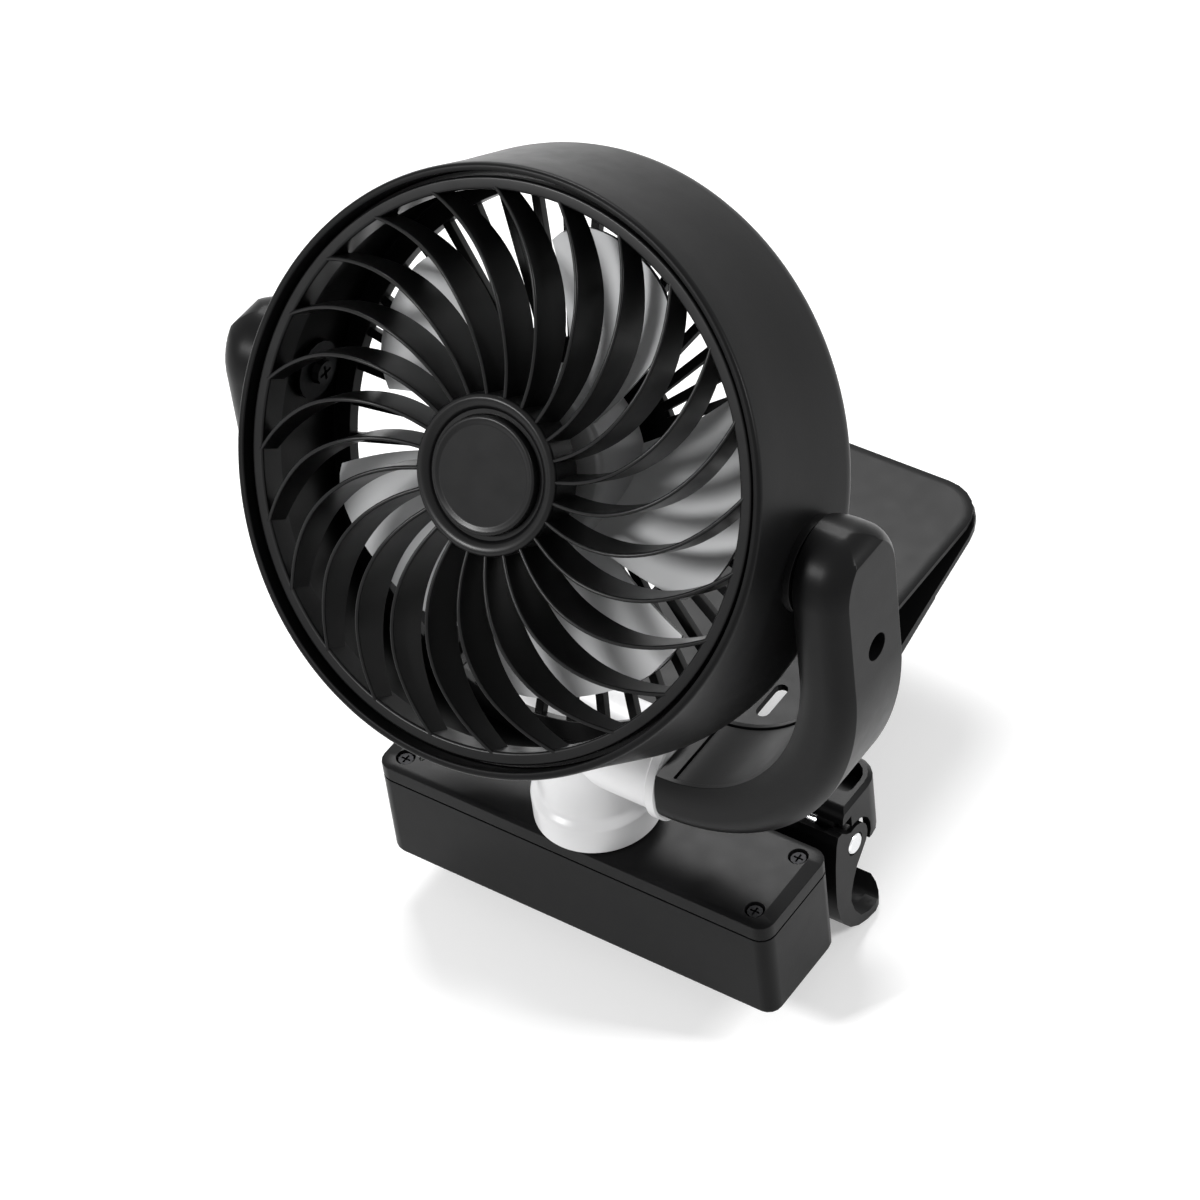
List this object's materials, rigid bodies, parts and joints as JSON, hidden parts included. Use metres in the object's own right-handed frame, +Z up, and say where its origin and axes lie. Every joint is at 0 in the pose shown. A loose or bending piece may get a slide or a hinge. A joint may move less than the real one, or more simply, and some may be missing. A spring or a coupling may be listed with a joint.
{
  "type": "clip fan",
  "caption": "Clip fan: round head with a swirl grille in a tilting yoke, on a swivel hub over a battery box with a spring clip behind it.",
  "frame": {"origin": "centre of the flat underside of the battery box", "axes": "+Z up, +X along the box to the fan's right, the fan blows towards -Y and the clip reaches towards +Y"},
  "size_m": [0.1906, 0.2181, 0.2559],
  "materials": {
    "black_plastic": "fine satin texture",
    "dark_plastic": "matte",
    "white_plastic": "satin",
    "grey_plastic": "satin",
    "zinc_steel": "zinc plated",
    "bright_steel": "polished",
    "motor": "plain metal",
    "rubber": "matte",
    "board": "satin",
    "cell": "gloss sleeve",
    "lens": "gloss"
  },
  "bodies": {
    "base": {"base_shell": "black_plastic", "base_cover": "black_plastic", "cover_screw_1": "zinc_steel", "cover_screw_2": "zinc_steel", "cover_screw_3": "zinc_steel", "cover_screw_4": "zinc_steel", "led_lens": "lens", "battery_cell": "cell", "battery_holder": "dark_plastic", "circuit_board": "board", "charging_inlet": "zinc_steel", "tact_switch": "dark_plastic", "upper_jaw": "black_plastic", "upper_pad": "rubber", "hinge_pin": "bright_steel", "jaw_spring": "bright_steel", "bracket_screw_1": "zinc_steel", "bracket_screw_2": "zinc_steel"},
    "button": {"power_button": "dark_plastic"},
    "hub": {"swivel_hub": "white_plastic", "swivel_washer": "zinc_steel", "swivel_screw": "zinc_steel"},
    "yoke": {"cross_axle": "zinc_steel", "yoke_arm_right": "black_plastic", "yoke_arm_left": "black_plastic", "arm_cover_right": "black_plastic", "arm_cover_left": "black_plastic", "arm_screw_right": "zinc_steel", "arm_screw_left": "zinc_steel", "pivot_washer_right": "zinc_steel", "pivot_washer_left": "zinc_steel", "pivot_screw_right": "zinc_steel", "pivot_screw_left": "zinc_steel"},
    "head": {"head_shell": "black_plastic", "front_grille": "black_plastic", "hub_cap": "black_plastic", "rear_grille": "black_plastic", "motor_can": "motor"},
    "rotor": {"motor_shaft": "bright_steel", "impeller": "grey_plastic", "impeller_nut": "zinc_steel"},
    "jaw": {"lower_jaw": "black_plastic", "lower_pad": "rubber"}
  },
  "joints": [
    {"name": "pan", "type": "hinge", "parent": "base", "child": "hub", "pos_m": [0, 0, 0.0405], "axis": [0, 0, 1], "range_deg": [-180, 180]},
    {"name": "yoke_tilt", "type": "hinge", "parent": "hub", "child": "yoke", "pos_m": [0, 0, 0.0655], "axis": [1, 0, 0], "range_deg": [-40, 50]},
    {"name": "head_tilt", "type": "hinge", "parent": "yoke", "child": "head", "pos_m": [0, 0, 0.1635], "axis": [1, 0, 0], "range_deg": [-58, 77]},
    {"name": "fan_spin", "type": "hinge", "parent": "head", "child": "rotor", "pos_m": [0, 0, 0.1635], "axis": [0, -0.848, 0.5299], "continuous": true},
    {"name": "clip_jaw", "type": "hinge", "parent": "base", "child": "jaw", "pos_m": [0, 0.0323, 0.0216], "axis": [-1, 0, 0], "range_deg": [0, 14], "stiffness_Nm_per_rad": 1.5, "springref_deg": -45.84, "deforming": ["jaw_spring"]},
    {"name": "power_button_press", "type": "slide", "parent": "base", "child": "button", "axis": [1, 0, 0], "range_m": [0, 0.0008], "stiffness_N_per_m": 600, "springref_m": -0.001}
  ]
}
